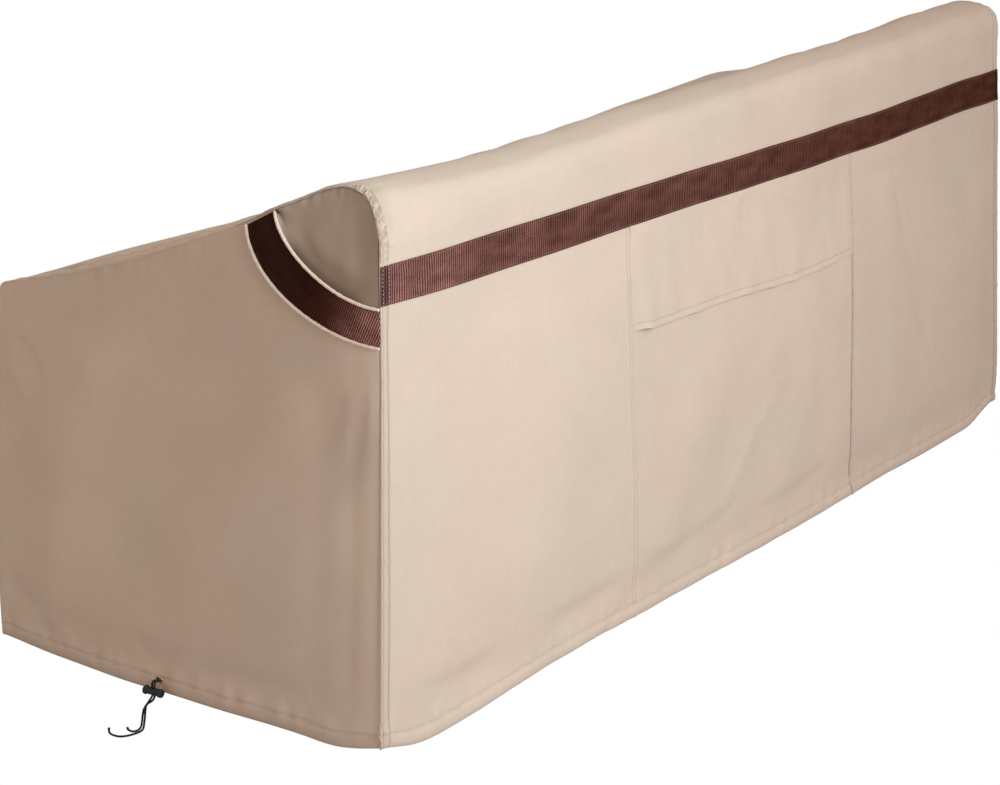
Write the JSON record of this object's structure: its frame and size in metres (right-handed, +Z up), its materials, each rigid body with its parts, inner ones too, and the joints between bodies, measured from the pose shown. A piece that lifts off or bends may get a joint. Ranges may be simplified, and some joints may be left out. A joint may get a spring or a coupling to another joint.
{
  "type": "outdoor sofa cover",
  "caption": "Fitted cover for a high-backed outdoor sofa: beige coated cloth, brown webbing bands, piped end gussets, a rear vent flap and a drawcord hem.",
  "frame": {"origin": "under the middle of the crown, where the top edge of the sofa's back carries the cover", "axes": "+X along the sofa towards the end with the drawcord lock, +Y out of the rear face, +Z up"},
  "size_m": [2.3362, 0.8477, 0.9797],
  "materials": {
    "cloth": "coated plain-woven polyester, satin to matt",
    "webbing": "ribbed brown webbing",
    "piping": "bias-cut piping in the cloth's colour",
    "cord": "black braided cord",
    "lock": "black moulded plastic",
    "brass": "polished"
  },
  "bodies": {
    "root": {"rear_panel_near": "cloth", "rear_panel_centre": "cloth", "rear_panel_far": "cloth", "vent_flap": "cloth", "crown_panel": "cloth", "top_panel": "cloth", "front_panel": "cloth", "end_panel_near": "cloth", "end_panel_far": "cloth", "gusset_near": "cloth", "gusset_far": "cloth", "rear_band": "webbing", "arc_band_near": "webbing", "arc_band_far": "webbing", "piping_upper_near": "piping", "piping_lower_near": "piping", "piping_upper_far": "piping", "piping_lower_far": "piping", "cord_tail_long": "cord", "cord_tail_short": "cord", "cord_lock": "lock", "eyelet": "brass"}
  },
  "joints": []
}
